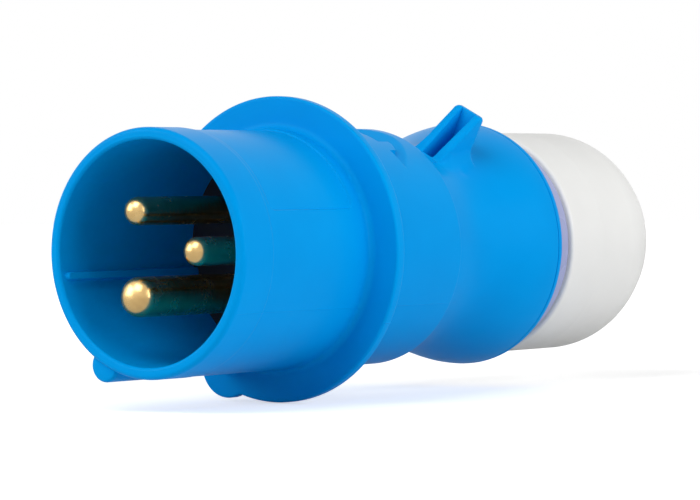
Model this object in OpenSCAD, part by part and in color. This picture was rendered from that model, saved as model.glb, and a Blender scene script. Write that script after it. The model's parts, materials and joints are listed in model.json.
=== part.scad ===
// Industrial pin and sleeve plug, 16 A, two poles and earth.
// Every piece is drawn along +Z, from the mating rim at z = 0 to the back of the gland nut,
// with the key on the +Y side. lie_down() then lays the plug on its flange, rim towards -Y.

/* [Shroud] */
// Outside diameter of the shroud at its rim
shroud_d = 43.5; // [42.5:0.1:44.5]
// Wall of the shroud
shroud_wall = 2.1; // [1.8:0.05:2.6]
// From the rim to the front of the flange
shroud_l = 36.1; // [34:0.1:39]
// Radius of the rounded lip
lip_r = 0.9; // [0.4:0.1:1.1]
// Length of the slightly proud band behind the rim
band_l = 8; // [5:0.5:10]
// How far the band stands proud of the shroud behind it
band_step = 0.1; // [0.05:0.05:0.2]
// Fillet between shroud and flange
root_r = 1.2; // [0.5:0.1:2]

/* [Key] */
// Radius of the rounded key on the outside of the shroud
key_r = 3; // [2.5:0.1:3.4]
// Distance of the key's centre from the axis
key_c = 22; // [21.5:0.1:22.8]
// Where the key starts behind the rim
key_start = 1; // [0.5:0.1:3]

/* [Flange] */
// Diameter of the flange
flange_d = 55.1; // [52:0.1:58]
// Thickness of the flange
flange_t = 2.2; // [1.8:0.1:3]
// Rounding of the flange's edges
flange_edge = 0.5; // [0.2:0.1:0.8]
// Radius of the lobe on the flange, in line with the key
lobe_r = 5.8; // [5:0.1:6.5]
// Distance of the lobe's centre from the axis
lobe_c = 24; // [23.5:0.1:24.5]

/* [Neck] */
// Outside diameter of the neck behind the flange
neck_d = 43.7; // [43.3:0.1:44.5]
// From the rim to the back edge of the neck
neck_end = 63.9; // [62.5:0.1:65]
// Diameter of the bore that takes the carrier and the rear housing
neck_bore = 40.1; // [39.8:0.1:40.4]
// From the rim to the straight front edge of the thumb pocket in the neck
pocket_z = 54.3; // [52:0.1:55]
// Length of the pocket, from its straight edge to the back of its curved edge
pocket_l = 7.2; // [5:0.1:8]
// Slope of the pocket's floor
pocket_slope = 22; // [16:1:28]
// Depth of the pocket
pocket_deep = 1.2; // [0.6:0.05:1.3]
// Width of the tab that stands in the pocket
tab_w = 3.3; // [2:0.1:5]
// Length of the tab, back from the pocket's front edge
tab_l = 3.1; // [2:0.1:4]

/* [Bare panel] */
// Angle round the shroud that the bare panel takes
panel_a = 85; // [50:1:100]
// From the rim to the panel
panel_z = 9.2; // [8.6:0.1:14]
// Length of the panel
panel_l = 23.5; // [15:0.5:25]
// Depth of the panel
panel_deep = 0.3; // [0.1:0.05:0.5]

/* [Inside rib] */
// Angle from the key to the locating rib inside the shroud
rib_a = 50; // [40:1:60]
// Width of the rib
rib_w = 1.5; // [1:0.1:2]
// Height of the rib inside the shroud
rib_h = 0.9; // [0.5:0.1:1.4]
// Where the rib starts behind the rim
rib_start = 1.3; // [1:0.1:4]

/* [Pins] */
// Diameter of the line and neutral pins
pole_d = 5; // [4.8:0.1:5.2]
// Diameter of the earth pin
earth_d = 7; // [6.8:0.1:7.2]
// Diameter of the circle through the pins' centres
pin_circle = 17.2; // [16.8:0.1:17.6]
// From the rim to the tips of the line and neutral pins
pole_tip = 1.6; // [1:0.1:4]
// From the rim to the tip of the earth pin
earth_tip = 0.5; // [0.2:0.1:2]
// Height of the dome on the line and neutral pins
pole_dome = 2.3; // [1.5:0.1:2.5]
// Height of the dome on the earth pin
earth_dome = 2.8; // [2:0.1:3.5]
// Depth of the relief groove where a pin leaves the carrier
relief_deep = 0.3; // [0.2:0.05:0.4]
// How far the relief groove starts in front of the carrier
relief_l = 0.4; // [0.3:0.1:1]
// Diameter of the line and neutral pins' terminal heads
pole_head_d = 8.4; // [7.8:0.1:8.8]
// Diameter of the earth pin's terminal head
earth_head_d = 9.2; // [8.8:0.1:9.6]
// Length of the terminal heads
head_l = 14.6; // [13:0.1:15]
// Diameter of the wire holes in the heads
wire_d = 3.8; // [3:0.1:4]
// Depth of the wire holes
wire_deep = 9.5; // [8:0.1:10.5]

/* [Terminal screws] */
// Diameter of the terminal screws
term_d = 3.5; // [3:0.1:4]
// From the back of a head to its screw
term_back = 5; // [4.5:0.1:6]
// Thickness of the leaf between screw and wire
leaf_t = 0.4; // [0.3:0.05:0.5]

/* [Contact carrier] */
// From the rim to the face of the contact carrier
carrier_z = 37; // [36.5:0.1:38.5]
// Thickness of the carrier's front plate
carrier_plate_t = 4; // [3.5:0.1:4.5]
// Diameter of the carrier's body behind its plate
carrier_body_d = 32; // [31:0.1:32.6]
// Thickness of the terminal cover on the carrier
cover_t = 2; // [1.5:0.1:2.5]
// Diameter of the two screws that hold the cover
cover_screw_d = 2.5; // [2:0.1:3]
// Length of the cover screws inside the carrier
cover_screw_l = 7; // [5:0.5:10]

/* [Bayonet] */
// Angle that the rear housing turns to unlock
bayonet_turn = 30; // [24:1:32]
// Thickness of the lugs along the plug
lug_t = 2.2; // [1.8:0.1:2.4]
// Diameter of the rear housing's skirt inside the neck
skirt_d = 37.4; // [37:0.1:37.8]
// Wall of the skirt
skirt_wall = 2.3; // [1.8:0.1:2.6]
// Section diameter of the housing seal
seal_d = 2.2; // [2:0.1:2.3]

/* [Rear housing] */
// Diameter of the rear housing where it leaves the neck
collar_d = 39.3; // [39:0.1:39.6]
// Diameter of the waist
waist_d = 38.1; // [37.4:0.1:39]
// From the rim to the waist
waist_z = 73; // [71:0.1:75]
// Diameter of the rear housing's back rim
rim_d = 46.4; // [45:0.1:48]
// From the rim to the back of the rear housing
rim_z = 95.4; // [94:0.1:97]
// Wall of the rear housing
housing_wall = 2.2; // [1.8:0.1:2.4]
// Width of the bead along the back rim
bead_w = 1.1; // [0.8:0.1:1.6]

/* [Fin] */
// Width of the hollow fin
fin_w = 6.3; // [5.5:0.1:8]
// Distance of the fin's top from the axis
fin_top = 28.4; // [27:0.1:30.5]
// From the rim to the foot of the fin's slanted face
fin_foot_z = 71.2; // [70:0.1:73]
// From the rim to the front of the fin's top
fin_top_z = 78.8; // [77:0.1:79.5]
// From the rim to the back of the fin
fin_back_z = 80.3; // [80:0.1:83]
// Wall at the back of the fin
fin_back_t = 1.2; // [1:0.1:2]
// Width of the slot's mouth at the fin's top
slot_w = 3.3; // [2.5:0.1:3.6]
// Width of the slot at its floor
slot_floor_w = 2.4; // [1.8:0.1:3.3]
// How far the slot reaches into the wall of the housing
slot_sink = 0.8; // [0.4:0.1:1.1]
// Fillet where the fin's sides meet the housing
fin_flare = 2.5; // [1:0.1:3]
// Radius of the fin's top corners
fin_round = 0.8; // [0.5:0.1:1.4]

/* [Gland] */
// Diameter over the thread of the spigot
thread_d = 36.6; // [36:0.1:37]
// Length of the threaded spigot
spigot_l = 20.6; // [18:0.1:22]
// Bore of the spigot
spigot_bore = 30.4; // [29.6:0.1:31]
// Outside diameter of the grey seal ring
ring_d = 41.6; // [40:0.1:43]
// Length of the grey seal ring
ring_l = 6.2; // [5:0.1:7]
// Bore of the cable bush
cable_d = 11; // [8:0.5:13]
// Length of the cable bush
bush_l = 15.5; // [12:0.5:17]
// Number of fingers on the clamp ring
fingers = 10; // [6:2:12]
// Width of the gaps between the fingers
finger_gap = 1.6; // [1:0.1:2]

/* [Gland nut] */
// Outside diameter of the gland nut
nut_d = 42.8; // [41.5:0.1:44]
// Length of the gland nut
nut_l = 32.2; // [31:0.1:34]
// Length of the nut's straight part
nut_straight_l = 22; // [18:0.5:25]
// Diameter of the nut's back face
nut_back_d = 36.6; // [34:0.1:38]
// Diameter of the cable opening in the nut
nut_hole_d = 19; // [17:0.5:21]
// Width of the slip ring between nut and clamp
slip_w = 2.7; // [2:0.1:3.2]

/* [Lying] */
// Roll of the plug about its axis as it lies, which turns the key to the lower left
roll = 28; // [22:1:32]

/* [Clearances] */
// Clearance of pieces that move on each other
run_gap = 0.15; // [0.1:0.05:0.25]
// Clearance of pieces that are pushed together
fit_gap = 0.05; // [0.02:0.01:0.08]

/* [Hidden] */

$fn = 96;
over = 1;                                   // how far a cutter runs past what it cuts

blue = [0.0, 0.56, 0.89];
black = [0.06, 0.07, 0.09];
brass = [0.87, 0.68, 0.35];
steel = [0.72, 0.73, 0.75];
rubber = [0.12, 0.12, 0.13];
lavender = [0.62, 0.65, 0.78];
pale_grey = [0.90, 0.90, 0.89];
ivory = [0.82, 0.82, 0.78];

key_at = 90;                                // where the key stands round the axis
third_turn = 120;
fin_at = key_at + 180;                      // the fin stands opposite the key
line_at = key_at + third_turn;
neutral_at = key_at - third_turn;
shroud_r = shroud_d / 2;
bore_r = shroud_r - shroud_wall;
body_r = shroud_r - band_step;
flange_r = flange_d / 2;
flange_back = shroud_l + flange_t;
neck_r = neck_d / 2;
neck_bore_r = neck_bore / 2;
pin_c = pin_circle / 2;

plate_back = carrier_z + carrier_plate_t;
seat_z = carrier_z + 0.3;                   // the pins widen just inside the carrier's face
seat_step = 0.2;
relief_z = carrier_z - relief_l;
head_back = plate_back + head_l;
cover_z = head_back + fit_gap;
cover_back = cover_z + cover_t;
term_z = head_back - term_back;
cover_screw_c = 11.2;                       // the cover screws stand between the terminals
cover_screws_at = [key_at - third_turn / 2, key_at + third_turn / 2];
cover_hole_l = cover_screw_l + 1;

lug_a = bayonet_turn - 4;                   // the lugs pass each other before the turn ends
skirt_r = skirt_d / 2;
lug_r = neck_bore_r - run_gap;              // outside of the housing's lugs
shell_lug_r = skirt_r + run_gap;            // inside of the shell's lugs
skirt_in_r = skirt_r - skirt_wall;
skirt_front = 53;
lug_front = skirt_front;
shell_lug_z = lug_front + lug_t + run_gap;
seal_z = 60.9;
seal_c = neck_bore_r - run_gap - seal_d / 2;
collar_z = 63;

rim_r = rim_d / 2;
thread_r = thread_d / 2;
spigot_bore_r = spigot_bore / 2;
spigot_back = rim_z + spigot_l;
back_wall_t = 2.4;
wire_way_r = 9.5;                           // hole in the housing's back wall
bush_back = rim_z + bush_l;

nut_z = rim_z + ring_l + run_gap;
nut_r = nut_d / 2;
plug_l = nut_z + nut_l;
nut_bore_r = thread_r + run_gap;
clamp_z = spigot_back;
clamp_collar_t = 2.4;
clamp_collar_r = thread_r - 0.4;
slip_z = clamp_z + clamp_collar_t + run_gap;
slip_t = 1.4;
shoulder_z = slip_z + slip_t + fit_gap;
cone_top_r = nut_bore_r - run_gap - slip_w; // where the nut's inner cone starts
cone_end_r = nut_hole_d / 2;
cone_end_z = plug_l - 3.4;
finger_back = plug_l - 6;

lobe_drop = lobe_c * cos(roll) + lobe_r;
rest_h = max(flange_r, lobe_drop);          // height of the axis above the surface

// Points of an arc in a profile
function arc(c, r, from, to, steps = 6) =
    [for (i = [0:steps]) let (a = from + (to - from) * i / steps) c + r * [cos(a), sin(a)]];

// Smooth rise from 0 to 1
function ease(t) = t * t * (3 - 2 * t);

// Outside radius of the rear housing's bell
function bell_r(z) =
    z < waist_z
        ? waist_d / 2 + (collar_d - waist_d) / 2 * ease((waist_z - z) / (waist_z - collar_z))
        : waist_d / 2 + (rim_r - waist_d / 2) * ease((z - waist_z) / (rim_z - waist_z));

// Radius of the nut's inner cone
function cone_r(z) =
    cone_top_r + (cone_end_r - cone_top_r) * (z - shoulder_z) / (cone_end_z - shoulder_z);

module lie_down() {
    translate([0, -plug_l / 2, rest_h]) rotate([-90, 0, 0]) rotate([0, 0, roll]) children();
}

// Places a child at a distance from the axis, its own X pointing outwards
module out_at(angle, r, z = 0) {
    rotate([0, 0, angle]) translate([r, 0, z]) children();
}

// Block that follows the round of a wall
module sector(r_in, r_out, z, h, middle, angle) {
    rotate([0, 0, middle - angle / 2])
        rotate_extrude(angle = angle) translate([r_in, z]) square([r_out - r_in, h]);
}

// Disc with rounded edges
module rounded_disc(r, t, edge) {
    rotate_extrude() polygon(concat([[0, 0]],
        arc([r - edge, edge], edge, -90, 0),
        arc([r - edge, t - edge], edge, 0, 90),
        [[0, t]]));
}

// ---- front shell ----

module shell_skin() {
    rotate_extrude() polygon(concat([[0, 0]],
        arc([shroud_r - lip_r, lip_r], lip_r, -90, 0),
        [[shroud_r, band_l], [body_r, band_l + band_step * 2]],
        arc([body_r + root_r, shroud_l - root_r], root_r, 180, 90),
        arc([neck_r + root_r / 2, flange_back + root_r / 2], root_r / 2, 270, 180),
        [[neck_r, neck_end - 0.3], [neck_r - 0.2, neck_end], [0, neck_end]]));
}

module shell_bore() {
    chamfer = 0.5;
    rotate_extrude() polygon([[0, -over], [bore_r + chamfer + over, -over], [bore_r + chamfer, 0],
        [bore_r, chamfer], [bore_r, carrier_z], [neck_bore_r, carrier_z],
        [neck_bore_r, neck_end + over], [0, neck_end + over]]);
}

module key() {
    bevel = 0.5;
    out_at(key_at, key_c, key_start) {
        cylinder(r1 = key_r - bevel, r2 = key_r, h = bevel);
        translate([0, 0, bevel]) cylinder(r = key_r, h = shroud_l - key_start - bevel + flange_t / 2);
    }
}

module panel_cut() {
    sector(body_r - panel_deep, shroud_r + over, panel_z, panel_l, fin_at, panel_a);
}

// A flat sloping floor cut into the round neck leaves a straight front and a curved back edge
module pocket_cut() {
    pocket_side = 10;
    size = 2 * neck_r;
    difference() {
        intersection() {
            out_at(fin_at - pocket_side, neck_r, pocket_z + pocket_l) rotate([0, pocket_slope, 0])
                translate([0, -size / 2, -size]) cube([size, size, 2 * size]);
            cylinder_from(pocket_z, pocket_z + pocket_l + over, neck_r + over);
        }
        cylinder(r = neck_r - pocket_deep, h = neck_end);
    }
}

// Tab level with the neck, with one corner cut off
module pocket_tab() {
    tab_side = 4;
    cut = tab_l * 0.8;
    half_w = tab_w / 2;
    intersection() {
        out_at(fin_at + tab_side, 0, pocket_z) rotate([0, 90, 0]) linear_extrude(height = neck_r + over)
            polygon([[over, -half_w], [over, half_w], [cut - tab_l, half_w],
                     [-tab_l, half_w - cut * 0.4], [-tab_l, -half_w]]);
        difference() {
            cylinder_from(pocket_z - over, neck_end - over, neck_r);
            cylinder_from(pocket_z - 2 * over, neck_end, neck_r - pocket_deep - 0.2);
        }
    }
}

// Rib that locates the carrier, with a round front end
module shell_rib() {
    out_at(key_at + rib_a, bore_r - rib_h, 0) rotate([0, 90, 0]) linear_extrude(height = rib_h + 0.6) {
        translate([-rib_start - rib_w / 2, 0]) circle(d = rib_w);
        translate([-plate_back, -rib_w / 2]) square([plate_back - rib_start - rib_w / 2, rib_w]);
    }
}

module shell_lugs() {
    stop_a = 4;
    for (i = [0:2]) {
        middle = key_at + third_turn * (i + 0.5);
        sector(shell_lug_r, neck_bore_r + 0.5, shell_lug_z, lug_t, middle, lug_a);
        sector(shell_lug_r, neck_bore_r + 0.5, lug_front, lug_t + run_gap + 0.1,
               middle - lug_a / 2 - stop_a / 2 - 0.5, stop_a);
    }
}

// Wedges that the carrier snaps behind
module shell_snaps() {
    snap_h = 0.5;
    snap_a = 16;
    for (i = [0:2])
        sector(neck_bore_r - snap_h, neck_bore_r + 0.5, plate_back + fit_gap, 1.6,
               key_at + third_turn * i, snap_a);
}

module front_shell() {
    color(blue) lie_down() {
        difference() {
            union() {
                shell_skin();
                translate([0, 0, shroud_l]) rounded_disc(flange_r, flange_t, flange_edge);
                out_at(key_at, lobe_c, shroud_l) rounded_disc(lobe_r, flange_t, flange_edge);
                key();
            }
            shell_bore();
            panel_cut();
            pocket_cut();
        }
        pocket_tab();
        shell_rib();
        shell_lugs();
        shell_snaps();
    }
}

// ---- pins and terminals ----

// Domed pin with the seat that holds it in the carrier and its terminal head, along +Z
module pin(d, tip, dome, head_d) {
    steps = 10;
    bevel = 0.4;
    difference() {
        rotate_extrude() polygon(concat([[0, tip]],
            [for (i = [1:steps]) [d / 2 * sin(90 * i / steps), tip + dome * (1 - cos(90 * i / steps))]],
            [[d / 2, relief_z], [d / 2 - relief_deep, relief_z], [d / 2 - relief_deep, seat_z],
             [d / 2 + seat_step, seat_z], [d / 2 + seat_step, plate_back],
             [head_d / 2, plate_back], [head_d / 2, head_back - bevel], [head_d / 2 - bevel, head_back],
             [0, head_back]]));
        translate([0, 0, head_back - wire_deep]) cylinder(d = wire_d, h = wire_deep + over);
        translate([0, 0, term_z]) rotate([0, 90, 0]) cylinder(d = term_d, h = head_d);
    }
}

// Slotted grub screw with a flat tip, standing outwards over the wire hole
module terminal_screw() {
    tip_r = wire_d / 2 - leaf_t;
    top = 6.4;
    difference() {
        translate([tip_r, 0, term_z]) rotate([0, 90, 0])
            cylinder(d = term_d - 2 * fit_gap, h = top - tip_r);
        translate([top - 1, -term_d, term_z - 0.35]) cube([1 + over, 2 * term_d, 0.7]);
    }
}

// Sprung leaf that keeps the screw's tip off the strands
module wire_leaf() {
    leaf_w = wire_d * 0.5;
    out = wire_d / 2 - leaf_t - fit_gap;
    lip = 1;
    translate([out - leaf_t, -leaf_w / 2, head_back - wire_deep + 0.5])
        cube([leaf_t, leaf_w, wire_deep - 0.5 + lip]);
}

module pole_pin(angle) {
    color(brass) lie_down() out_at(angle, pin_c) pin(pole_d, pole_tip, pole_dome, pole_head_d);
}

module line_pin() { pole_pin(line_at); }
module neutral_pin() { pole_pin(neutral_at); }
module earth_pin() {
    color(brass) lie_down() out_at(key_at, pin_c) pin(earth_d, earth_tip, earth_dome, earth_head_d);
}

module line_screw() { color(steel) lie_down() out_at(line_at, pin_c) terminal_screw(); }
module neutral_screw() { color(steel) lie_down() out_at(neutral_at, pin_c) terminal_screw(); }
module earth_screw() { color(steel) lie_down() out_at(key_at, pin_c) terminal_screw(); }
module line_leaf() { color(steel) lie_down() out_at(line_at, pin_c) wire_leaf(); }
module neutral_leaf() { color(steel) lie_down() out_at(neutral_at, pin_c) wire_leaf(); }
module earth_leaf() { color(steel) lie_down() out_at(key_at, pin_c) wire_leaf(); }

// ---- carrier ----

module pin_holes(pole, earth, z, h) {
    for (a = [line_at, neutral_at]) out_at(a, pin_c, z) cylinder(d = pole, h = h);
    out_at(key_at, pin_c, z) cylinder(d = earth, h = h);
}

// Open way beside each head for its screw and screwdriver
module screw_ways() {
    way_w = term_d + 1.3;
    for (a = [line_at, neutral_at, key_at])
        out_at(a, pin_c, term_z - way_w / 2) translate([0, -way_w / 2, 0])
            cube([carrier_body_d / 2, way_w, head_back - term_z + way_w / 2 + over]);
}

module contact_carrier() {
    color(black) lie_down() difference() {
        union() {
            translate([0, 0, carrier_z]) cylinder(r = neck_bore_r - fit_gap, h = carrier_plate_t);
            cylinder_from(plate_back, head_back, carrier_body_d / 2);
        }
        pin_holes(pole_d + 2 * (seat_step + fit_gap), earth_d + 2 * (seat_step + fit_gap),
                  carrier_z - over, carrier_plate_t + 2 * over);
        pin_holes(pole_head_d + 2 * fit_gap, earth_head_d + 2 * fit_gap, plate_back, head_l + over);
        screw_ways();
        for (a = cover_screws_at) out_at(a, cover_screw_c, head_back - cover_hole_l)
            cylinder(d = cover_screw_d, h = cover_hole_l + over);
        rib_notch();
    }
}

module rib_notch() {
    notch_w = rib_w + 2 * run_gap;
    out_at(key_at + rib_a, bore_r - rib_h - run_gap, carrier_z - over) translate([0, -notch_w / 2, 0])
        cube([rib_h + 3, notch_w, carrier_plate_t + 2 * over]);
}

module cylinder_from(z0, z1, r) {
    translate([0, 0, z0]) cylinder(r = r, h = z1 - z0);
}

module terminal_cover() {
    wire_room = 1.2;
    funnel = 1;
    color(black) lie_down() difference() {
        cylinder_from(cover_z, cover_back, carrier_body_d / 2);
        pin_holes(wire_d + wire_room, wire_d + wire_room, cover_z - over, cover_t + 2 * over);
        for (a = [line_at, neutral_at, key_at]) out_at(a, pin_c, cover_back - funnel)
            cylinder(d1 = wire_d + wire_room, d2 = wire_d + wire_room + 2 * funnel, h = funnel + fit_gap);
        for (a = cover_screws_at) out_at(a, cover_screw_c, cover_z - over)
            cylinder(d = cover_screw_d + 2 * run_gap, h = cover_t + 2 * over);
    }
}

module cover_screws() {
    head_t = 1.6;
    slot = 0.7;
    color(steel) lie_down() for (a = cover_screws_at) out_at(a, cover_screw_c) difference() {
        union() {
            cylinder_from(head_back - cover_screw_l, cover_back + fit_gap, cover_screw_d / 2 - fit_gap);
            cylinder_from(cover_back + fit_gap, cover_back + head_t, cover_screw_d);
        }
        translate([-cover_screw_d - over, -slot / 2, cover_back + head_t / 2])
            cube([2 * (cover_screw_d + over), slot, head_t]);
    }
}

// ---- rear housing ----

module housing_seal() {
    color(rubber) lie_down() rotate_extrude() translate([seal_c, seal_z]) circle(d = seal_d, $fn = 32);
}

module housing_skin() {
    steps = 24;
    groove = 0.25;
    bell_back = rim_z - bead_w - groove;
    seal_half = seal_d / 2 + fit_gap;
    seal_floor = seal_c - seal_d / 2;
    rotate_extrude() polygon(concat(
        [[0, skirt_front], [skirt_r, skirt_front], [skirt_r, seal_z - seal_half],
         [seal_floor, seal_z - seal_half], [seal_floor, seal_z + seal_half],
         [skirt_r, seal_z + seal_half], [skirt_r, collar_z]],
        [for (i = [0:steps]) let (z = collar_z + (bell_back - collar_z) * i / steps) [bell_r(z), z]],
        [[rim_r - groove, bell_back + groove / 2], [rim_r - groove, bell_back + groove],
         [rim_r, rim_z - bead_w], [rim_r, rim_z - groove], [rim_r - groove, rim_z],
         [thread_r, rim_z], [thread_r, spigot_back - 0.6], [thread_r - 0.6, spigot_back],
         [0, spigot_back]]));
}

module housing_hollow() {
    steps = 12;
    hollow_back = rim_z - back_wall_t;
    rotate_extrude() polygon(concat(
        [[0, skirt_front - over], [skirt_in_r, skirt_front - over], [skirt_in_r, collar_z + 2]],
        [for (i = [0:steps]) let (z = waist_z + (hollow_back - waist_z) * i / steps)
            [max(skirt_in_r, bell_r(z) - housing_wall), z]],
        [[wire_way_r, hollow_back], [wire_way_r, rim_z], [spigot_bore_r, rim_z],
         [spigot_bore_r, spigot_back + over], [0, spigot_back + over]]));
}

// Wedge of the fin: its side view and its front view cut each other
module fin() {
    side_w = fin_w / 2 + fin_flare;
    foot_r = sqrt(pow(waist_d / 2, 2) - pow(side_w, 2)) - 0.1;
    root = foot_r - over;
    half = concat([[root, side_w]],
        arc([foot_r + fin_flare, side_w], fin_flare, 180, 270),
        arc([fin_top - fin_round, fin_w / 2 - fin_round], fin_round, 90, 0));
    out_at(fin_at, 0) intersection() {
        rotate([90, 0, 0]) linear_extrude(height = 2 * side_w + over, center = true)
            polygon([[root, fin_foot_z], [waist_d / 2, fin_foot_z], [fin_top, fin_top_z],
                     [fin_top, fin_back_z], [root, fin_back_z]]);
        linear_extrude(height = rim_z)
            polygon(concat(half, [for (i = [len(half) - 1:-1:0]) [half[i][0], -half[i][1]]]));
    }
}

// Slot that makes the fin hollow, open to its slanted face
module fin_slot() {
    slot_floor = waist_d / 2 - slot_sink;
    mouth = fin_top + over;
    out_at(fin_at, 0, fin_foot_z) linear_extrude(height = fin_back_z - fin_back_t - fin_foot_z)
        polygon([[slot_floor, -slot_floor_w / 2], [mouth, -slot_w / 2],
                 [mouth, slot_w / 2], [slot_floor, slot_floor_w / 2]]);
}

module housing_lugs() {
    for (i = [0:2])
        sector(skirt_r - 0.5, lug_r, lug_front, lug_t, key_at + third_turn * (i + 0.5), lug_a);
}

module rear_housing() {
    color(blue) lie_down() difference() {
        union() {
            housing_skin();
            fin();
            housing_lugs();
        }
        housing_hollow();
        fin_slot();
    }
}

// ---- gland ----

module ring_seal() {
    round = 0.8;
    ring_r = ring_d / 2;
    color(lavender) lie_down() translate([0, 0, rim_z]) rotate_extrude() polygon(concat(
        [[thread_r + run_gap, 0]],
        [[ring_r, 0]],
        arc([ring_r - round, ring_l - round], round, 0, 90),
        [[thread_r + run_gap, ring_l]]));
}

module cable_bush() {
    mouth = 2;
    bush_r = spigot_bore_r - run_gap;
    cable_r = cable_d / 2;
    color(rubber) lie_down() rotate_extrude() polygon([
        [cable_r + mouth, rim_z], [bush_r, rim_z], [bush_r, bush_back - 1], [bush_r - 1, bush_back],
        [cable_r + mouth, bush_back], [cable_r, bush_back - mouth], [cable_r, rim_z + mouth]]);
}

module clamp_ring() {
    root_r = cone_top_r - 0.5;
    tip_r = cone_r(finger_back) - 0.45;
    in_r = 7.8;
    color(ivory) lie_down() difference() {
        rotate_extrude() polygon([
            [in_r + 3, bush_back + fit_gap], [spigot_bore_r - run_gap, bush_back + fit_gap],
            [spigot_bore_r - run_gap, clamp_z], [clamp_collar_r, clamp_z],
            [clamp_collar_r, clamp_z + clamp_collar_t], [root_r, clamp_z + clamp_collar_t],
            [tip_r, finger_back], [in_r, finger_back], [in_r, clamp_z + clamp_collar_t],
            [in_r + 3, clamp_z]]);
        for (i = [0:fingers - 1])
            out_at(360 * i / fingers, 0, clamp_z + clamp_collar_t) translate([0, -finger_gap / 2, 0])
                cube([thread_r, finger_gap, nut_l]);
    }
}

module slip_ring() {
    color(ivory) lie_down() rotate_extrude() translate([cone_top_r, slip_z])
        square([nut_bore_r - run_gap - cone_top_r, slip_t]);
}

module gland_nut() {
    front_bevel = 0.6;
    edge = 0.9;
    back_r = nut_back_d / 2;
    straight_back = nut_z + nut_straight_l;
    taper_l = plug_l - edge - straight_back;
    taper_steps = 8;
    edge_from = 15;
    color(pale_grey) lie_down() rotate_extrude() polygon(concat(
        [[nut_bore_r, nut_z], [nut_r - front_bevel, nut_z], [nut_r, nut_z + front_bevel]],
        [for (i = [0:taper_steps]) let (t = i / taper_steps)
            [nut_r - (nut_r - back_r) * t * t, straight_back + taper_l * t]],
        arc([back_r - edge, plug_l - edge], edge, edge_from, 90, 4),
        [[cone_end_r + 1.5, plug_l], [cone_end_r, plug_l - 1.5], [cone_end_r, cone_end_z],
         [cone_top_r, shoulder_z], [nut_bore_r, shoulder_z]]));
}

front_shell();
contact_carrier();
terminal_cover();
cover_screws();
line_pin();
neutral_pin();
earth_pin();
line_screw();
neutral_screw();
earth_screw();
line_leaf();
neutral_leaf();
earth_leaf();
housing_seal();
rear_housing();
ring_seal();
cable_bush();
clamp_ring();
slip_ring();
gland_nut();
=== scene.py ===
import json
from math import atan2, degrees, pi, radians

import bmesh
import bpy
import numpy as np
from mathutils import Matrix, Vector


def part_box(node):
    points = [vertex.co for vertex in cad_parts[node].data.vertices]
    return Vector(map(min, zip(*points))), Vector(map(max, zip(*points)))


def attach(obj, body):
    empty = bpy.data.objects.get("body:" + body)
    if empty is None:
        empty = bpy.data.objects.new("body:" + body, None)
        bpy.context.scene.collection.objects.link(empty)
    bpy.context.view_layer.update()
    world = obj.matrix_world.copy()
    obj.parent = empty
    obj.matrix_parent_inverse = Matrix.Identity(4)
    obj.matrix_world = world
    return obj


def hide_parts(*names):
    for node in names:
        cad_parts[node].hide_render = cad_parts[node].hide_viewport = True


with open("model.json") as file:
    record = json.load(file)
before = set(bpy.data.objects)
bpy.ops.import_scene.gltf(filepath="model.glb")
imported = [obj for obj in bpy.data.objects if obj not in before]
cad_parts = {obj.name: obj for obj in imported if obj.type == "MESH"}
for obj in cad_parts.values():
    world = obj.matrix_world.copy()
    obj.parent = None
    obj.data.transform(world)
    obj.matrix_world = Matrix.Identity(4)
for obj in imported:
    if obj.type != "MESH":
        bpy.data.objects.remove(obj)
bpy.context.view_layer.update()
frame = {"nodes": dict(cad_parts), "record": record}

# Sizes below are in millimetres and angles in degrees. A place on the plug is given by s, the
# distance behind the rim, r, the distance from the axis, and a turn, clockwise from the top as
# seen from the rim.
MM = 0.001

nut_low, nut_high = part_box("gland_nut")
shell_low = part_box("front_shell")[0]
earth_low, earth_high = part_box("earth_pin")
AXIS_X = (nut_low.x + nut_high.x) / 2
AXIS_Z = (nut_low.z + nut_high.z) / 2
RIM_Y = shell_low.y
EARTH_X = (earth_low.x + earth_high.x) / 2 - AXIS_X
EARTH_Z = (earth_low.z + earth_high.z) / 2 - AXIS_Z
KEY_TURN = degrees(atan2(EARTH_X, EARTH_Z))
FIN_TURN = KEY_TURN + 180
SEAM_TURNS = (FIN_TURN + 90, FIN_TURN - 90)

# ---- sizes of the moulded and turned pieces ----

SHROUD_R, BORE_R, BODY_R = 21.75, 19.65, 21.65
SHROUD_L, BAND_L, LIP_R, ROOT_R = 36.1, 8.0, 0.9, 1.2
KEY_C, KEY_R, KEY_START = 22.0, 3.0, 1.0
FLANGE_R, FLANGE_T, FLANGE_EDGE = 27.55, 2.2, 0.5
LOBE_C, LOBE_R = 24.0, 5.8
NECK_R, NECK_BORE_R, NECK_END = 21.85, 20.05, 63.9
CARRIER_Z = 37.0
PANEL_Z, PANEL_L, PANEL_A, PANEL_DEEP, PANEL_CORNER = 9.2, 23.5, 85.0, 0.3, 1.3
POCKET_Z, POCKET_L, POCKET_SLOPE, POCKET_DEEP = 54.3, 7.2, 22.0, 1.3
POCKET_TURN = FIN_TURN - 10
TAB_TURN, TAB_W, TAB_L = FIN_TURN + 4, 3.3, 3.1
RIB_TURN, RIB_W, RIB_H, RIB_START = KEY_TURN + 50, 1.5, 0.9, 1.3
SKIRT_R, SKIRT_FRONT, SEAL_Z, SEAL_HALF, SEAL_FLOOR = 18.7, 53.0, 60.9, 1.15, 17.7
COLLAR_R, COLLAR_Z, WAIST_R, WAIST_Z = 19.65, 63.0, 19.05, 73.0
RIM_R, RIM_Z, BEAD_W, GROOVE = 23.2, 95.4, 1.1, 0.25
THREAD_R, SPIGOT_BACK, SPIGOT_BORE_R = 18.3, 116.0, 15.2
FIN_HALF, FIN_TOP, FIN_FOOT_Z, FIN_TOP_Z = 3.15, 28.4, 71.2, 78.8
FIN_BACK_Z, SLOT_BACK_Z, SLOT_HALF, SLOT_FLOOR_HALF, SLOT_FLOOR = 80.3, 79.1, 1.65, 1.2, 18.25
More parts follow.
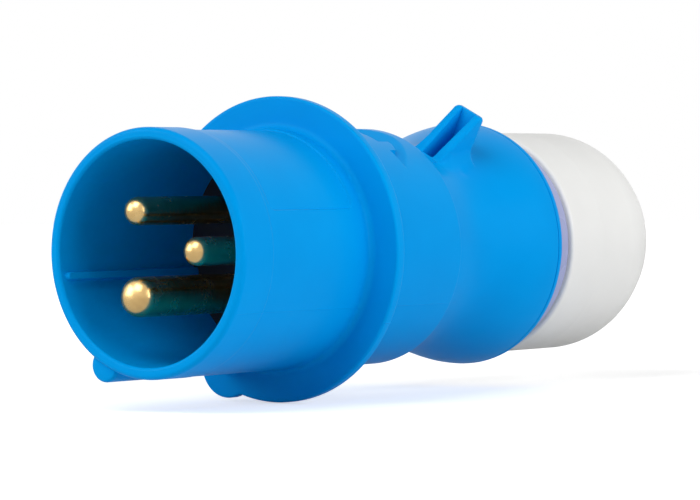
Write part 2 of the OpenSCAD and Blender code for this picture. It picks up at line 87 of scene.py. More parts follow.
RING_R, RING_L = 20.8, 6.2
NUT_Z, NUT_R, NUT_BORE_R, NUT_L, NUT_STRAIGHT_L = 101.75, 21.4, 18.45, 32.2, 22.0
NUT_BACK_R, NUT_HOLE_R, NUT_CONE_R = 18.3, 9.5, 15.6


def place(s, r, turn):
    """Points of the plug in metres"""
    s, r, turn = np.broadcast_arrays(s, r, np.radians(turn))
    return np.stack([AXIS_X + MM * r * np.sin(turn), RIM_Y + MM * s, AXIS_Z + MM * r * np.cos(turn)], -1)


def from_middle(turn, middle):
    """How far a turn lies from another, from -180 to 180"""
    return (np.asarray(turn, float) - middle + 180) % 360 - 180


def rise(x, start, end):
    """Smooth step from 0 to 1"""
    t = np.clip((np.asarray(x, float) - start) / (end - start), 0, 1)
    return t * t * (3 - 2 * t)


def blend_max(a, b, soft):
    """Larger of two heights, with a fillet between them"""
    h = np.clip(0.5 + 0.5 * (a - b) / soft, 0, 1)
    return b + (a - b) * h + soft * h * (1 - h)


def boss_r(turn, middle, centre, radius):
    """Outer radius of a round boss whose centre stands off the axis"""
    phi = np.radians(from_middle(turn, middle))
    inside = radius ** 2 - (centre * np.sin(phi)) ** 2
    reach = centre * np.cos(phi) + np.sqrt(np.maximum(inside, 0))
    return np.where((inside > 0) & (np.abs(phi) < 1), reach, 0)


def columns(step, *close):
    """Turns round the plug, with closer ones where (start, end, step) asks for them"""
    turns = [np.arange(0, 360, step)] + [np.arange(a, b + s / 2, s) % 360 for a, b, s in close]
    turns = np.sort(np.concatenate(turns))
    keep = [turns[0]]
    for t in turns[1:]:
        if t - keep[-1] > 0.045:
            keep.append(t)
    return np.array(keep)


def arc_rows(count):
    """Sine and one minus cosine of a quarter turn, for rounded edges"""
    t = np.linspace(0, pi / 2, count)
    return list(zip(np.sin(t), 1 - np.cos(t)))


def skin(name, points, closed=True, sharp=50):
    """Smooth mesh over a net of points whose columns go right round"""
    rows, cols = points.shape[:2]
    index = np.arange(rows * cols).reshape(rows, cols)
    right = np.roll(index, -1, 1)
    last = rows if closed else rows - 1
    below = np.roll(index, -1, 0)
    below_right = np.roll(right, -1, 0)
    faces = np.stack([index, right, below_right, below], -1)[:last].reshape(-1, 4)
    mesh = bpy.data.meshes.new(name)
    mesh.from_pydata(points.reshape(-1, 3).tolist(), [], faces.tolist())
    return finish_mesh(name, mesh, sharp)


def finish_mesh(name, mesh, sharp):
    """Joins doubled points, turns the faces outwards and makes the piece"""
    net = bmesh.new()
    net.from_mesh(mesh)
    bmesh.ops.remove_doubles(net, verts=net.verts, dist=1e-7)
    bmesh.ops.dissolve_degenerate(net, edges=net.edges, dist=1e-7)
    bmesh.ops.recalc_face_normals(net, faces=net.faces)
    net.to_mesh(mesh)
    net.free()
    mesh.shade_smooth()
    mesh.set_sharp_from_angle(angle=radians(sharp))
    piece = bpy.data.objects.new(name, mesh)
    bpy.context.scene.collection.objects.link(piece)
    return piece


def turned(name, profile, turns, sharp=50, centre=(0, 0)):
    """Piece of revolution from a closed profile of (s, r), about the axis or one beside it"""
    profile = np.array(profile, float)
    points = place(profile[:, :1], profile[:, 1:], turns[None, :])
    points[..., 0] += centre[0]
    points[..., 2] += centre[1]
    return skin(name, points, sharp=sharp)


# ---- camera ----

camera = bpy.data.objects.new("camera", bpy.data.cameras.new("camera"))
bpy.context.scene.collection.objects.link(camera)
camera.data.lens = 180
camera.data.sensor_width = 36
camera.data.clip_start, camera.data.clip_end = 0.05, 20
rim_centre = Vector((AXIS_X, RIM_Y, AXIS_Z))
camera.matrix_world = (
    Matrix.Translation(rim_centre + Vector((386.11, -460.50, 9.84)) * MM)
    @ Matrix.Rotation(radians(36.6175), 4, "Z")
    @ Matrix.Rotation(radians(90 - 0.92), 4, "X")
    @ Matrix.Rotation(radians(-0.6835), 4, "Z")
)
bpy.context.scene.camera = camera

# ---- materials ----


def shader_group(name, inputs, outputs):
    """Empty node group with named value inputs and outputs"""
    group = bpy.data.node_groups.new(name, "ShaderNodeTree")
    for label, default in inputs.items():
        socket = group.interface.new_socket(label, in_out="INPUT", socket_type="NodeSocketFloat")
        socket.default_value = default
    for label in outputs:
        group.interface.new_socket(label, in_out="OUTPUT", socket_type="NodeSocketFloat")
    return group, group.nodes.new("NodeGroupInput"), group.nodes.new("NodeGroupOutput")


def add(tree, kind, at=(), **values):
    """Node with some of its settings, and sockets given by name or wired from another socket"""
    node = tree.nodes.new(kind)
    for key, value in at:
        setattr(node, key, value)
    for label, value in values.items():
        socket = node.inputs[label.replace("_", " ")]
        if isinstance(value, bpy.types.NodeSocket):
            tree.links.new(value, socket)
        else:
            socket.default_value = value
    return node


def maths(tree, operation, a, b=0.0, clamp=False):
    """One sum of two values, either of which may be a socket"""
    node = tree.nodes.new("ShaderNodeMath")
    node.operation = operation
    node.use_clamp = clamp
    for socket, value in zip(node.inputs, (a, b)):
        if isinstance(value, bpy.types.NodeSocket):
            tree.links.new(value, socket)
        else:
            socket.default_value = value
    return node.outputs[0]


def moulding_group():
    """Fine texture of a mould, slow clouds of colour, and faint scuffs"""
    group, given, result = shader_group(
        "moulded_plastic", {"Grain Size": 0.25, "Cloud Size": 18.0}, ("Grain", "Cloud", "Scuff"))
    spot = add(group, "ShaderNodeTexCoord").outputs["Object"]
    grain_scale = maths(group, "DIVIDE", 1 / MM, given.outputs["Grain Size"])
    cloud_scale = maths(group, "DIVIDE", 1 / MM, given.outputs["Cloud Size"])
    grain = add(group, "ShaderNodeTexNoise", Vector=spot, Scale=grain_scale, Detail=2.0, Roughness=0.6)
    cloud = add(group, "ShaderNodeTexNoise", Vector=spot, Scale=cloud_scale, Detail=3.0, Roughness=0.5)
    stretch = add(group, "ShaderNodeMapping", Vector=spot, Scale=(420, 60, 420))
    scuff = add(group, "ShaderNodeTexNoise", Vector=stretch.outputs[0], Scale=1.0, Detail=5.0, Roughness=0.75)
    marks = maths(group, "MULTIPLY", maths(group, "SUBTRACT", scuff.outputs[0], 0.66, True), 4.0, True)
    group.links.new(grain.outputs[0], result.inputs["Grain"])
    group.links.new(cloud.outputs[0], result.inputs["Cloud"])
    group.links.new(marks, result.inputs["Scuff"])
    return group


def turning_group():
    """Rings that a lathe leaves along the length of a piece"""
    group, given, result = shader_group(
        "lathe_marks", {"Pitch": 0.35, "Wander": 1.5}, ("Rings", "Dull"))
    spot = add(group, "ShaderNodeTexCoord").outputs["Object"]
    scale = maths(group, "DIVIDE", 0.1 / MM, given.outputs["Pitch"])
    wave = add(group, "ShaderNodeTexWave", (("wave_type", "BANDS"), ("bands_direction", "Y")), Vector=spot,
               Scale=scale, Distortion=given.outputs["Wander"], Detail=3.0)
    wave.inputs["Detail Scale"].default_value = 2.0
    dull = add(group, "ShaderNodeTexNoise", Vector=spot, Scale=260.0, Detail=4.0, Roughness=0.65)
    group.links.new(wave.outputs["Fac"], result.inputs["Rings"])
    group.links.new(dull.outputs[0], result.inputs["Dull"])
    return group


MOULDING = moulding_group()
TURNING = turning_group()


def new_material(name):
    """Material with its node tree and its shader"""
    material = bpy.data.materials.new(name)
    material.use_nodes = True
    tree = material.node_tree
    return material, tree, tree.nodes["Principled BSDF"]


def effect(tree, group, **values):
    """A shared effect placed in a material with the material's own values"""
    node = tree.nodes.new("ShaderNodeGroup")
    node.node_tree = group
    for label, value in values.items():
        node.inputs[label.replace("_", " ")].default_value = value
    return node


def two_tone(tree, mask, low, high):
    """Colour that moves between two tones with a mask"""
    ramp = tree.nodes.new("ShaderNodeValToRGB")
    ramp.color_ramp.elements[0].color = (*low, 1)
    ramp.color_ramp.elements[1].color = (*high, 1)
    ramp.color_ramp.elements[0].position = 0.3
    ramp.color_ramp.elements[1].position = 0.7
    tree.links.new(mask, ramp.inputs[0])
    return ramp.outputs[0]


def spread(tree, mask, low, high):
    """Value that moves between two limits with a mask"""
    node = add(tree, "ShaderNodeMapRange", Value=mask)
    node.inputs["To Min"].default_value = low
    node.inputs["To Max"].default_value = high
    return node.outputs[0]


def bump(tree, shader, height, strength, depth):
    """Relief of a given depth in millimetres"""
    node = add(tree, "ShaderNodeBump", Height=height, Strength=strength, Distance=depth * MM)
    tree.links.new(node.outputs[0], shader.inputs["Normal"])


def moulded(name, low, high, rough, grain_size, grain_depth, specular, tint=(1, 1, 1), scuffs=0.1):
    """Moulded plastic or rubber: two close tones, mould texture and faint scuffs"""
    material, tree, shader = new_material(name)
    marks = effect(tree, MOULDING, Grain_Size=grain_size)
    tree.links.new(two_tone(tree, marks.outputs["Cloud"], low, high), shader.inputs["Base Color"])
    dull = maths(tree, "MULTIPLY", marks.outputs["Scuff"], scuffs)
    level = spread(tree, marks.outputs["Cloud"], rough - 0.03, rough + 0.03)
    tree.links.new(maths(tree, "ADD", level, dull), shader.inputs["Roughness"])
    bump(tree, shader, marks.outputs["Grain"], 0.5, grain_depth)
    shader.inputs["Specular IOR Level"].default_value = specular
    shader.inputs["Specular Tint"].default_value = (*tint, 1)
    return material


def lathed(name, low, high, rough, pitch, depth):
    """Turned metal: rings along its length and a patchy dullness"""
    material, tree, shader = new_material(name)
    marks = effect(tree, TURNING, Pitch=pitch)
    tree.links.new(two_tone(tree, marks.outputs["Dull"], low, high), shader.inputs["Base Color"])
    tree.links.new(spread(tree, marks.outputs["Dull"], rough - 0.06, rough + 0.1), shader.inputs["Roughness"])
    bump(tree, shader, marks.outputs["Rings"], 0.5, depth)
    shader.inputs["Metallic"].default_value = 1.0
    return material


blue_shell = moulded(
    "blue_shell", (0.0, 0.285, 0.72), (0.0, 0.31, 0.76), 0.3, 0.3, 0.012, 0.04, (0.3, 0.75, 1.0))
black_insert = moulded("black_insert", (0.012, 0.013, 0.016), (0.02, 0.021, 0.025), 0.5, 0.3, 0.02, 0.4)
seal_rubber = moulded("seal_rubber", (0.02, 0.02, 0.021), (0.035, 0.034, 0.034), 0.65, 0.5, 0.03, 0.3)
# The seal ring's dark lavender-grey is painted shade and painted blue reflection: the shaded, blue-lit look
# of pale grey plastic beside the blue housing, put into its base colour.
ring_grey = moulded("ring_grey", (0.30, 0.33, 0.55), (0.34, 0.37, 0.60), 0.28, 0.4, 0.01, 0.5)
nut_grey = moulded("nut_grey", (0.76, 0.76, 0.745), (0.80, 0.80, 0.785), 0.45, 0.35, 0.02, 0.4)
clamp_nylon = moulded("clamp_nylon", (0.56, 0.54, 0.47), (0.62, 0.60, 0.53), 0.42, 0.4, 0.02, 0.4)
pin_brass = lathed("pin_brass", (0.62, 0.40, 0.16), (0.80, 0.56, 0.24), 0.24, 0.35, 0.012)
screw_steel = lathed("screw_steel", (0.50, 0.50, 0.49), (0.62, 0.62, 0.60), 0.3, 0.3, 0.015)

FINISHES = {"blue_shell": blue_shell, "black_insert": black_insert, "seal_rubber": seal_rubber,
            "ring_grey": ring_grey, "nut_grey": nut_grey, "clamp_nylon": clamp_nylon,
            "pin_brass": pin_brass, "screw_steel": screw_steel}


def fit_out(piece, finish, body, *nodes):
    """Gives a piece its finish and its body, and hides the CAD nodes that it stands for"""
    piece.data.materials.clear()
    piece.data.materials.append(FINISHES[finish])
    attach(piece, body)
    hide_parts(*nodes)


# ---- front shell ----

shell_turns = columns(
    2.0,
    (KEY_TURN - 14, KEY_TURN + 14, 0.4),
    (FIN_TURN - PANEL_A / 2 - 0.6, FIN_TURN - PANEL_A / 2 + 3.4, 0.25),
    (FIN_TURN + PANEL_A / 2 - 3.4, FIN_TURN + PANEL_A / 2 + 0.6, 0.25),
    (POCKET_TURN - 29, POCKET_TURN + 29, 0.75),
    (RIB_TURN - 3, RIB_TURN + 3, 0.2),
    *((seam - 0.4, seam + 0.4, 0.1) for seam in SEAM_TURNS),
)


def seam_height(turn, height=0.05):
    """Thin line of flash where the halves of the mould met"""
    return sum(height * np.exp(-(from_middle(turn, seam) / 0.16) ** 2) for seam in SEAM_TURNS)


def shroud_r(s, turn):
    """Outside of the shroud with its band, key, bare panel and the fillet at the flange"""
    tube = SHROUD_R - (SHROUD_R - BODY_R) * rise(s, BAND_L, BAND_L + 0.25)
    across = np.abs(np.radians(from_middle(turn, FIN_TURN))) * BODY_R - np.radians(PANEL_A / 2) * BODY_R
    along = np.abs(s - PANEL_Z - PANEL_L / 2) - PANEL_L / 2
    corner = np.hypot(np.maximum(across + PANEL_CORNER, 0), np.maximum(along + PANEL_CORNER, 0))
    corner -= PANEL_CORNER
    bare = 1 - rise(corner, -0.16, 0.1)
    nose = np.clip((s - KEY_START) / 0.7, 0, 1)
    key_r = KEY_R - 0.7 * (1 - np.sqrt(1 - (1 - nose) ** 2))
    key = np.where(s > KEY_START, boss_r(turn, KEY_TURN, KEY_C, key_r), 0)
    root = np.clip(s - (SHROUD_L - ROOT_R), 0, ROOT_R)
    fillet = ROOT_R - np.sqrt(ROOT_R ** 2 - root ** 2)
    return blend_max(key, tube - PANEL_DEEP * bare + seam_height(turn), 0.25) + fillet


def flange_r(turn):
    """Outline of the flange with its lobe"""
    lobe = boss_r(turn, KEY_TURN, LOBE_C, LOBE_R)
    return blend_max(lobe, FLANGE_R + 0 * turn, 0.5) + seam_height(turn, 0.08)


def neck_r(s, turn):
    """Outside of the neck with the thumb pocket and its tab"""
    away = np.radians(from_middle(turn, POCKET_TURN))
    floor = (NECK_R + np.tan(radians(POCKET_SLOPE)) * (s - POCKET_Z - POCKET_L)) / np.cos(away)
    floor = np.where(np.abs(away) < 0.6, floor, NECK_R + 1)
    floor = -blend_max(-floor, -NECK_R + 0 * floor, 0.06)
    floor = np.maximum(floor, NECK_R - POCKET_DEEP)
    open_part = rise(s, POCKET_Z - 0.06, POCKET_Z + 0.06)
    x = np.radians(from_middle(turn, TAB_TURN)) * NECK_R
    y = s - POCKET_Z
    corner = (x + TAB_W / 2) / TAB_W * 0.6 + y / TAB_L
    tab = (rise(-np.abs(x), -TAB_W / 2 - 0.1, -TAB_W / 2 + 0.1) * (1 - rise(y, TAB_L - 0.1, TAB_L + 0.1))
           * (1 - rise(corner, 1.2, 1.28)))
    cut = (NECK_R - floor) * open_part * (1 - tab)
    return NECK_R - cut + seam_height(turn)


def shell_net():
    """Points of the front shell: rim, outside, flange, neck, then back along the inside"""
    turn = shell_turns[None, :]
    one = np.ones_like(turn)
    rows = []

    def ring(s, r):
        rows.append((s * one, r * one))

    for r in (BORE_R + 0.5, BORE_R + 0.56, SHROUD_R - LIP_R - 0.05):
        ring(0, r)
    for sine, rest in arc_rows(9):
        ring(LIP_R * rest, SHROUD_R - LIP_R + LIP_R * sine)
    panel_steps = np.array([-0.11, -0.04, 0, 0.04, 0.09, 0.17, 0.3, 0.45, 0.62, 0.8, 1.0, 1.3])
    outer = np.concatenate([
        [1.0, 1.03, 1.08, 1.15, 1.25, 1.4, 1.55, 1.7, 2.0, 3.5, 5.5, 7.5],
        BAND_L + np.array([0, 0.06, 0.12, 0.18, 0.25, 0.6]),
        PANEL_Z + panel_steps, PANEL_Z + np.array([3, 6, 11.5, 17, 21]),
        PANEL_Z + PANEL_L - panel_steps[::-1], [PANEL_Z + PANEL_L + 0.3, PANEL_Z + PANEL_L + 1.2],
        SHROUD_L - ROOT_R + ROOT_R * np.sin(np.linspace(0, pi / 2, 9))])
    for s in outer:
        ring(s, shroud_r(s * one, turn))
    inner_edge = shroud_r(SHROUD_L * one, turn)
    rim = flange_r(turn)
    for t in (0.03, 0.3, 0.65, 0.95):
        ring(SHROUD_L, inner_edge + (rim - FLANGE_EDGE - inner_edge) * t)
    for sine, rest in arc_rows(6):
        ring(SHROUD_L + FLANGE_EDGE * rest, rim - FLANGE_EDGE + FLANGE_EDGE * sine)
    back = SHROUD_L + FLANGE_T
    for sine, rest in arc_rows(6)[::-1]:
        ring(back - FLANGE_EDGE * rest, rim - FLANGE_EDGE + FLANGE_EDGE * sine)
    neck_root = ROOT_R / 2
    for t in (0.95, 0.65, 0.3, 0.03):
        ring(back, NECK_R + neck_root + (rim - FLANGE_EDGE - NECK_R - neck_root) * t)
    for sine, rest in arc_rows(6):
        ring(back + neck_root * sine, NECK_R + neck_root - neck_root * np.sqrt(1 - (1 - sine) ** 2))
    for s in np.concatenate([
            [40, 44, 48, 51, 53, POCKET_Z - 0.3, POCKET_Z - 0.06, POCKET_Z - 0.03, POCKET_Z, POCKET_Z + 0.03,
             POCKET_Z + 0.06, POCKET_Z + 0.2],
            POCKET_Z + np.arange(0.5, 7.9, 0.3), [62.6, 63.2]]):
        ring(s, neck_r(s * one, turn))
    end_round = 0.35
    for sine, rest in arc_rows(6):
        ring(NECK_END - end_round + end_round * sine, NECK_R - end_round * rest)
    ring(NECK_END, NECK_BORE_R + 0.3)
    ring(NECK_END - 0.3, NECK_BORE_R)
    ring(50, NECK_BORE_R)
    ring(CARRIER_Z, NECK_BORE_R)
    x = np.radians(from_middle(turn, RIB_TURN)) * BORE_R
    for s in (CARRIER_Z, 36.8, 30, 22, 14, 8, 4, 3, 2.05, 1.8, 1.65, 1.5, 1.4, 1.3, 1.2, 1.1, 0.9, 0.5):
        reach = np.hypot(x, np.minimum(0, s - RIB_START - RIB_W / 2))
        rib = RIB_H * (1 - rise(reach, RIB_W / 2 - 0.12, RIB_W / 2 + 0.04))
        ring(s, BORE_R - rib)
    ring(0.3, BORE_R + 0.06)
    s_net = np.concatenate([s for s, r in rows])
    r_net = np.concatenate([r for s, r in rows])
    return place(s_net, r_net, np.repeat(turn, len(rows), 0))


front_shell = skin("front_shell_moulding", shell_net(), sharp=40)
fit_out(front_shell, "blue_shell", "shell", "front_shell")

# ---- rear housing ----


def bell_r(s):
    """Outside radius of the waisted bell"""
    s = np.asarray(s, float)
    front = WAIST_R + (COLLAR_R - WAIST_R) * rise(WAIST_Z - s, 0, WAIST_Z - COLLAR_Z)
    back = WAIST_R + (RIM_R - WAIST_R) * rise(s, WAIST_Z, RIM_Z)
    return np.where(s < WAIST_Z, front, back)


FIN_FLARE, FIN_ROUND, FIN_CORNER, SLOT_ROUND = 2.6, 0.75, 0.6, 0.32
SIDE_U = 9.0          # half width of the stretch of bell whose columns make room for the fin
LEAST_STEP = 0.006    # least distance between two columns of the fin


def slot_half(h):
    """Half of the slot's width at a height along the fin"""
    return SLOT_FLOOR_HALF + (SLOT_HALF - SLOT_FLOOR_HALF) * (h - SLOT_FLOOR) / (FIN_TOP - SLOT_FLOOR)


def fin_section(s, top, slot_floor, half):
    """Half of the section across the fin at one distance behind the rim: (u, h) from its middle
    outwards, where u is the distance from the fin's plane and h the height along it"""
    bell = float(bell_r(s))
    base = np.sqrt(bell ** 2 - half ** 2)
    tall = max(top - base, 0.0)
    flare = min(FIN_FLARE, 0.75 * tall)
    edge = min(FIN_ROUND, 0.24 * tall)
    floor = min(slot_floor, top)
    deep = top - floor
    slot_edge = min(SLOT_ROUND, 0.3 * deep)
    low = min(SLOT_ROUND, 0.3 * deep)
    foot, mouth = slot_half(floor), slot_half(top)
    points = [(0, floor), (foot * 0.5, floor)]
    for sine, rest in arc_rows(4):
        points.append((foot - low + low * sine, floor + low * rest))
    points.append((foot + (mouth - foot) * 0.5, (floor + top) / 2))
    for sine, rest in arc_rows(5):
        points.append((mouth + slot_edge * rest, top - slot_edge + slot_edge * sine))
    points.append(((mouth + slot_edge + half - edge) / 2, top))
    for sine, rest in arc_rows(6):
        points.append((half - edge + edge * sine, top - edge * rest))
    for t in (0.33, 0.66):
        points.append((half, (top - edge) + (base + flare - (top - edge)) * t))
    for angle in np.linspace(pi / 2, 0, 9):
        u = half + FIN_FLARE * (1 - np.sin(angle))
        points.append((u, np.sqrt(bell ** 2 - u ** 2) + flare * (1 - np.cos(angle))))
    return np.array(points)


def spread_out(u):
    """Keeps columns in order where they would fall together"""
    u = np.array(u)
    for j in range(1, len(u)):
        u[j] = max(u[j], u[j - 1] + LEAST_STEP)
    return u


fin_columns = len(fin_section(76, 24, 18, FIN_HALF))
rest_u = np.linspace(0, FIN_HALF + 1.2, fin_columns)
beyond = 10


def housing_row(s, section):
    """One row round the bell: the section of the fin, then the bell down to the far side"""
    bell = float(bell_r(s))
    u, h = section
    side_u = u[-1] + (SIDE_U - u[-1]) * np.linspace(0, 1, beyond + 1)[1:]
    u = np.concatenate([u, side_u])
    h = np.concatenate([h, np.sqrt(bell ** 2 - side_u ** 2)])
    turn = np.degrees(np.arctan2(u, h))
    r = np.hypot(u, h)
    around = turn[-1] + (180 - turn[-1]) * np.linspace(0, 1, 84)[1:]
    turn = np.concatenate([turn, around])
    r = np.concatenate([r, np.full(len(around), bell)])
    return np.concatenate([turn, 360 - turn[-2:0:-1]]), np.concatenate([r, r[-2:0:-1]])


def on_bell(s, u):
    """Places across the bare bell at one station"""
    return u, np.sqrt(float(bell_r(s)) ** 2 - u ** 2)


def housing_net():
    """Rows of the bell with its fin: (s, turns, radii)"""
    slope = (FIN_TOP - WAIST_R) / (FIN_TOP_Z - FIN_FOOT_Z)
    foot_start = FIN_FOOT_Z - 0.9
    rows = []

    def fin_row(s, top, slot_floor, half=FIN_HALF):
        section = fin_section(s, top, slot_floor, half)
        rows.append((s, *housing_row(s, (spread_out(section[:, 0]), section[:, 1]))))

    def bell_rows(stations, mixes, fin_u):
        for s, mix in zip(stations, mixes):
            rows.append((s, *housing_row(s, on_bell(s, rest_u + (fin_u - rest_u) * mix))))

    def face_top(s):
        return float(blend_max(WAIST_R + slope * (s - FIN_FOOT_Z), float(bell_r(s)), 1.0))

    first_u = spread_out(fin_section(foot_start, face_top(foot_start), FIN_TOP, FIN_HALF)[:, 0])
    bell_rows(np.arange(COLLAR_Z, 68.4, 0.8), np.zeros(7), first_u)
    bell_rows(np.linspace(68.6, foot_start - 0.1, 4), np.linspace(0.2, 1, 4), first_u)
    for s in np.concatenate([np.arange(foot_start, FIN_FOOT_Z - 0.05, 0.15), [FIN_FOOT_Z - 0.04]]):
        fin_row(s, face_top(s), FIN_TOP)
    for drop in (0.05, 0.2, 0.6):
        fin_row(FIN_FOOT_Z, face_top(FIN_FOOT_Z), face_top(FIN_FOOT_Z) - drop)
    for s in np.concatenate([FIN_FOOT_Z + np.array([0.02, 0.15, 0.3, 0.5, 0.8]),
                             np.arange(FIN_FOOT_Z + 1.2, FIN_TOP_Z - 0.35, 0.45)]):
        fin_row(s, face_top(s), SLOT_FLOOR)
    for back, drop in ((-0.28, 0.27), (-0.1, 0.13), (0.08, 0.05), (SLOT_BACK_Z - FIN_TOP_Z - 0.03, 0.0)):
        fin_row(FIN_TOP_Z + back, FIN_TOP - drop, SLOT_FLOOR)
    for step, low in ((0.0, 5.0), (0.0, 1.5), (0.0, 0.3), (0.04, 0.12), (0.12, 0.03), (0.25, 0.0)):
        fin_row(SLOT_BACK_Z + step, FIN_TOP, FIN_TOP - low)
    for sine, rest in arc_rows(6)[1:]:
        cut = FIN_CORNER * rest
        fin_row(FIN_BACK_Z - FIN_CORNER * (1 - sine), FIN_TOP - cut, FIN_TOP, FIN_HALF - cut)
    for top in (25.8, 23.5, 22.2):
        fin_row(FIN_BACK_Z + (27.8 - top) * 0.02, top, FIN_TOP, FIN_HALF - FIN_CORNER)
    base = float(bell_r(FIN_BACK_Z))
    for angle in np.linspace(0.2, pi / 2, 6):
        s = FIN_BACK_Z + 0.1 + 1.1 * (1 - np.cos(angle))
        fin_row(s, base + 0.25 * (s - FIN_BACK_Z) + 1.8 * (1 - np.sin(angle)), FIN_TOP, FIN_HALF - FIN_CORNER)
    last_u = spread_out(fin_section(FIN_BACK_Z + 1.3, base, FIN_TOP, FIN_HALF - FIN_CORNER)[:, 0])
    bell_back = RIM_Z - BEAD_W - GROOVE
    bell_rows(np.linspace(FIN_BACK_Z + 1.8, 86, 6), np.linspace(1, 0, 6), last_u)
    bell_rows(np.linspace(86.8, bell_back, 12), np.zeros(12), last_u)
    return rows


def rear_housing_net():
    """Points of the rear housing: skirt, bell with its fin, back rim, spigot and inside"""
    rows = housing_net()
    turns = np.array([turn for s, turn, r in rows])
    radii = np.array([r for s, turn, r in rows])
    stations = np.array([s for s, turn, r in rows])[:, None] * np.ones_like(radii)
    plain = rows[0][1]

    def rings(profile):
        profile = np.array(profile, float)
        one = np.ones((1, len(plain)))
        return profile[:, :1] * one, profile[:, 1:] * one, plain[None, :] * np.ones((len(profile), 1))

    seal_front, seal_back = SEAL_Z - SEAL_HALF, SEAL_Z + SEAL_HALF
    head = rings([(SKIRT_FRONT, SKIRT_R - 0.3), (SKIRT_FRONT + 0.3, SKIRT_R), (seal_front, SKIRT_R),
                  (seal_front, SEAL_FLOOR), (seal_back, SEAL_FLOOR), (seal_back, SKIRT_R),
                  (COLLAR_Z, SKIRT_R), (COLLAR_Z, COLLAR_R - 0.02)])
    bell_back = RIM_Z - BEAD_W - GROOVE
    tail = rings([(bell_back + 0.08, RIM_R - GROOVE), (bell_back + 0.2, RIM_R - GROOVE - 0.03),
                  (RIM_Z - BEAD_W, RIM_R - 0.06), (RIM_Z - BEAD_W + 0.12, RIM_R), (RIM_Z - 0.3, RIM_R),
                  (RIM_Z - 0.1, RIM_R - 0.08), (RIM_Z, RIM_R - 0.3), (RIM_Z, THREAD_R),
                  (SPIGOT_BACK - 0.6, THREAD_R), (SPIGOT_BACK, THREAD_R - 0.6), (SPIGOT_BACK, SPIGOT_BORE_R),
                  (RIM_Z, SPIGOT_BORE_R), (RIM_Z, 9.5), (RIM_Z - 2.4, 9.5), (RIM_Z - 2.4, RIM_R - 2.4),
                  (86, 19.4), (WAIST_Z + 4, 17.3), (WAIST_Z, 16.85), (65, 16.4), (SKIRT_FRONT, 16.4)])
    seam = seam_height(turns + FIN_TURN, 0.06) * (stations > 64)
    sink = -0.16 * np.exp(-((stations - 76.6) ** 2 + (radii * np.sin(np.radians(turns)) - 5.75) ** 2) / 0.9)
    sink = sink * (np.abs(from_middle(turns, 0)) < 90)
    radii = radii + seam + sink
    s_net = np.concatenate([head[0], stations, tail[0]])
    r_net = np.concatenate([head[1], radii, tail[1]])
    turn_net = np.concatenate([head[2], turns, tail[2]]) + FIN_TURN
    return place(s_net, r_net, turn_net)


rear_housing = skin("rear_housing_moulding", rear_housing_net(), sharp=40)
fit_out(rear_housing, "blue_shell", "housing", "rear_housing")

# ---- seal ring and gland nut ----

ring_round = 0.8
ring_profile = [(RIM_Z, THREAD_R + 0.15), (RIM_Z, RING_R)]
ring_profile += [(RIM_Z + RING_L - ring_round + ring_round * sine, RING_R - ring_round * rest)
                 for sine, rest in arc_rows(8)]
ring_profile += [(RIM_Z + RING_L, THREAD_R + 0.15)]
ring_seal = turned("ring_seal_moulding", ring_profile, np.arange(0, 360, 1.5), sharp=40)
# The ring's finish carries painted shade and a painted blue reflection in its colour.
fit_out(ring_seal, "ring_grey", "housing", "ring_seal")

RIBS, RIB_DEEP = 216, 0.07


def nut_outer_r(s):
    """Outside of the nut: straight, then drawn in to its back face"""
    t = np.clip((s - NUT_Z - NUT_STRAIGHT_L) / (NUT_L - NUT_STRAIGHT_L - 0.9), 0, 1)
    return NUT_R - (NUT_R - NUT_BACK_R) * t ** 2


def nut_net():
    """Points of the nut with its two bands of fine ribs"""
    turns = np.arange(2 * RIBS) * 180 / RIBS
    odd = np.arange(2 * RIBS) % 2
    nut_back = NUT_Z + NUT_L
    edge = 0.9
    rows = [(NUT_Z + back, NUT_R - drop) for back, drop in ((0, 0.6), (0.08, 0.35), (0.3, 0.08), (0.6, 0))]
    band_steps = (1.2, 1.5, 1.8, 6, 10.2, 10.5, 10.8, 11.1, 11.4, 16, 21, 21.4, 21.8)
    rows += [(NUT_Z + step, NUT_R) for step in band_steps]
    rows += [(s, float(nut_outer_r(s))) for s in np.linspace(NUT_Z + 22.4, nut_back - edge, 12)]
    rows += [(nut_back - edge + edge * sine, NUT_BACK_R - edge * rest) for sine, rest in arc_rows(6)[1:]]
    rows += [(nut_back, NUT_HOLE_R + 1.5), (nut_back - 0.4, NUT_HOLE_R + 0.5), (nut_back - 1.5, NUT_HOLE_R),
             (nut_back - 3.4, NUT_HOLE_R), (NUT_Z + 18.5, NUT_CONE_R), (NUT_Z + 18.5, NUT_BORE_R),
             (NUT_Z, NUT_BORE_R)]
    profile = np.array(rows)
    s = profile[:, :1]
    front_band = rise(s, NUT_Z + 1.2, NUT_Z + 1.8) * (1 - rise(s, NUT_Z + 10.2, NUT_Z + 10.8))
    back_band = rise(s, NUT_Z + 10.8, NUT_Z + 11.4) * (1 - rise(s, NUT_Z + 21, NUT_Z + 21.8))
    outside = profile[:, 1:] > NUT_R - 0.01
    groove = RIB_DEEP * outside * (front_band * odd + back_band * (1 - odd))
    return place(s, profile[:, 1:] - groove, turns[None, :])


gland_nut = skin("gland_nut_moulding", nut_net(), sharp=40)
fit_out(gland_nut, "nut_grey", "nut", "gland_nut")

# ---- pins ----


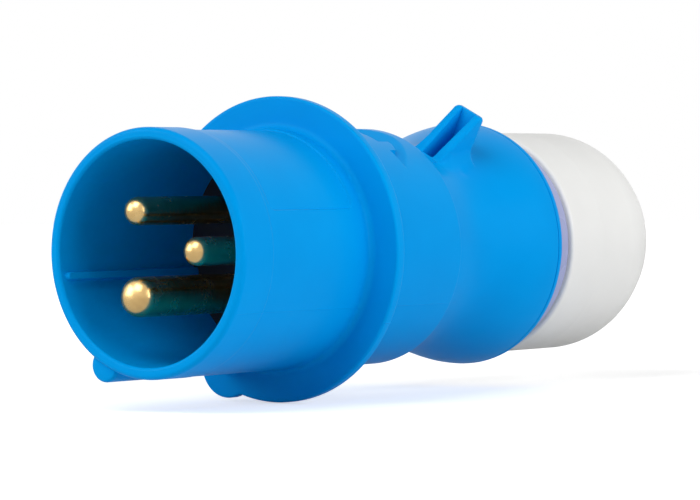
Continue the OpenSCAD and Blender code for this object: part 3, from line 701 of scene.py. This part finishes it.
def turned_pin(node, diameter, tip, dome, head_diameter):
    """Contact pin with a domed tip, turned about its own axis"""
    low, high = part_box(node)
    centre = ((low.x + high.x) / 2 - AXIS_X, (low.z + high.z) / 2 - AXIS_Z)
    r, head = diameter / 2, head_diameter / 2
    head_front, head_back = CARRIER_Z + 4, CARRIER_Z + 18.6
    profile = [(tip + 0.001, 0.02)]
    profile += [(tip + dome * (1 - np.cos(a)), r * np.sin(a)) for a in np.linspace(0.06, pi / 2, 20)]
    profile += [(20, r), (CARRIER_Z - 0.4, r), (CARRIER_Z - 0.4, r - 0.3), (CARRIER_Z + 0.3, r - 0.3),
                (CARRIER_Z + 0.3, r + 0.2), (head_front, r + 0.2), (head_front, head),
                (head_back - 0.4, head), (head_back, head - 0.4), (head_back, 1.9), (head_back - 9.5, 1.9),
                (head_back - 9.5, 0.02)]
    piece = turned(node + "_turned", profile, np.arange(0, 360, 5.0), sharp=35, centre=centre)
    fit_out(piece, "pin_brass", "shell", node)


turned_pin("line_pin", 5.0, 1.6, 2.3, 8.4)
turned_pin("neutral_pin", 5.0, 1.6, 2.3, 8.4)
turned_pin("earth_pin", 7.0, 0.5, 2.8, 9.2)

# ---- pieces that keep their CAD shape ----

slot_of_node = {part["node"]: part["material_slot"] for part in frame["record"]["subparts"]}
for node, piece in frame["nodes"].items():
    if not piece.hide_render:
        for held in piece.material_slots:
            held.material = FINISHES[slot_of_node[node]]

# ---- floor, lamps and sky ----

floor_mesh = bpy.data.meshes.new("floor")
reach = 3.0
corners = [(x * reach, y * reach, 0) for x, y in ((-1, -1), (1, -1), (1, 1), (-1, 1))]
floor_mesh.from_pydata(corners, [], [(0, 1, 2, 3)])
floor = bpy.data.objects.new("floor", floor_mesh)
bpy.context.scene.collection.objects.link(floor)
floor.location.z = -0.0001
floor_paint, tree, shader = new_material("floor_paint")
shader.inputs["Base Color"].default_value = (0.86, 0.86, 0.86, 1)
shader.inputs["Roughness"].default_value = 0.9
shader.inputs["Specular IOR Level"].default_value = 0.0
shader.inputs["Emission Color"].default_value = (1, 1, 1, 1)
seen = tree.nodes.new("ShaderNodeLightPath").outputs["Is Camera Ray"]
spot = tree.nodes.new("ShaderNodeTexCoord").outputs["Object"]
away = add(tree, "ShaderNodeVectorMath", (("operation", "LENGTH"),))
tree.links.new(spot, away.inputs[0])
glow = add(tree, "ShaderNodeMapRange", Value=away.outputs["Value"])
for label, value in {"From Min": 0.1, "From Max": 0.45, "To Min": 0.55, "To Max": 1.0}.items():
    glow.inputs[label].default_value = value
tree.links.new(maths(tree, "MULTIPLY", seen, glow.outputs[0]), shader.inputs["Emission Strength"])
floor.data.materials.append(floor_paint)


def softbox(name, place_at, aim, size, power):
    """Square studio lamp that faces a point"""
    lamp = bpy.data.objects.new(name, bpy.data.lights.new(name, "AREA"))
    bpy.context.scene.collection.objects.link(lamp)
    lamp.data.shape = "RECTANGLE"
    lamp.data.size, lamp.data.size_y = size
    lamp.data.energy = power
    lamp.location = place_at
    lamp.rotation_euler = (Vector(aim) - Vector(place_at)).to_track_quat("-Z", "Y").to_euler()


SOFTBOXES = {
    "softbox_right": ((0.9, 0.0, 0.3), 4.9),
    "softbox_front_left": ((-0.6, -0.7, 0.4), 3.7),
    "softbox_front_top": ((0.0, -0.7, 0.75), 4.4),
    "softbox_back": ((0.85, 0.35, 0.25), 1.2),
}
for name, (corner, power) in SOFTBOXES.items():
    softbox(name, corner, (0, 0, 0.03), (0.6, 0.6), power)

world = bpy.data.worlds.new("sky")
bpy.context.scene.world = world
world.use_nodes = True
tree = world.node_tree
sky = tree.nodes["Background"]
sky.inputs["Color"].default_value = (1, 1, 1, 1)
path = tree.nodes.new("ShaderNodeLightPath")
shown = maths(tree, "MAXIMUM", path.outputs["Is Camera Ray"],
              maths(tree, "MAXIMUM", path.outputs["Is Glossy Ray"], path.outputs["Is Transmission Ray"]))
SKY_LIGHT = 0.21
tree.links.new(maths(tree, "MAXIMUM", shown, SKY_LIGHT), sky.inputs["Strength"])

bpy.context.scene.view_settings.view_transform = "Standard"
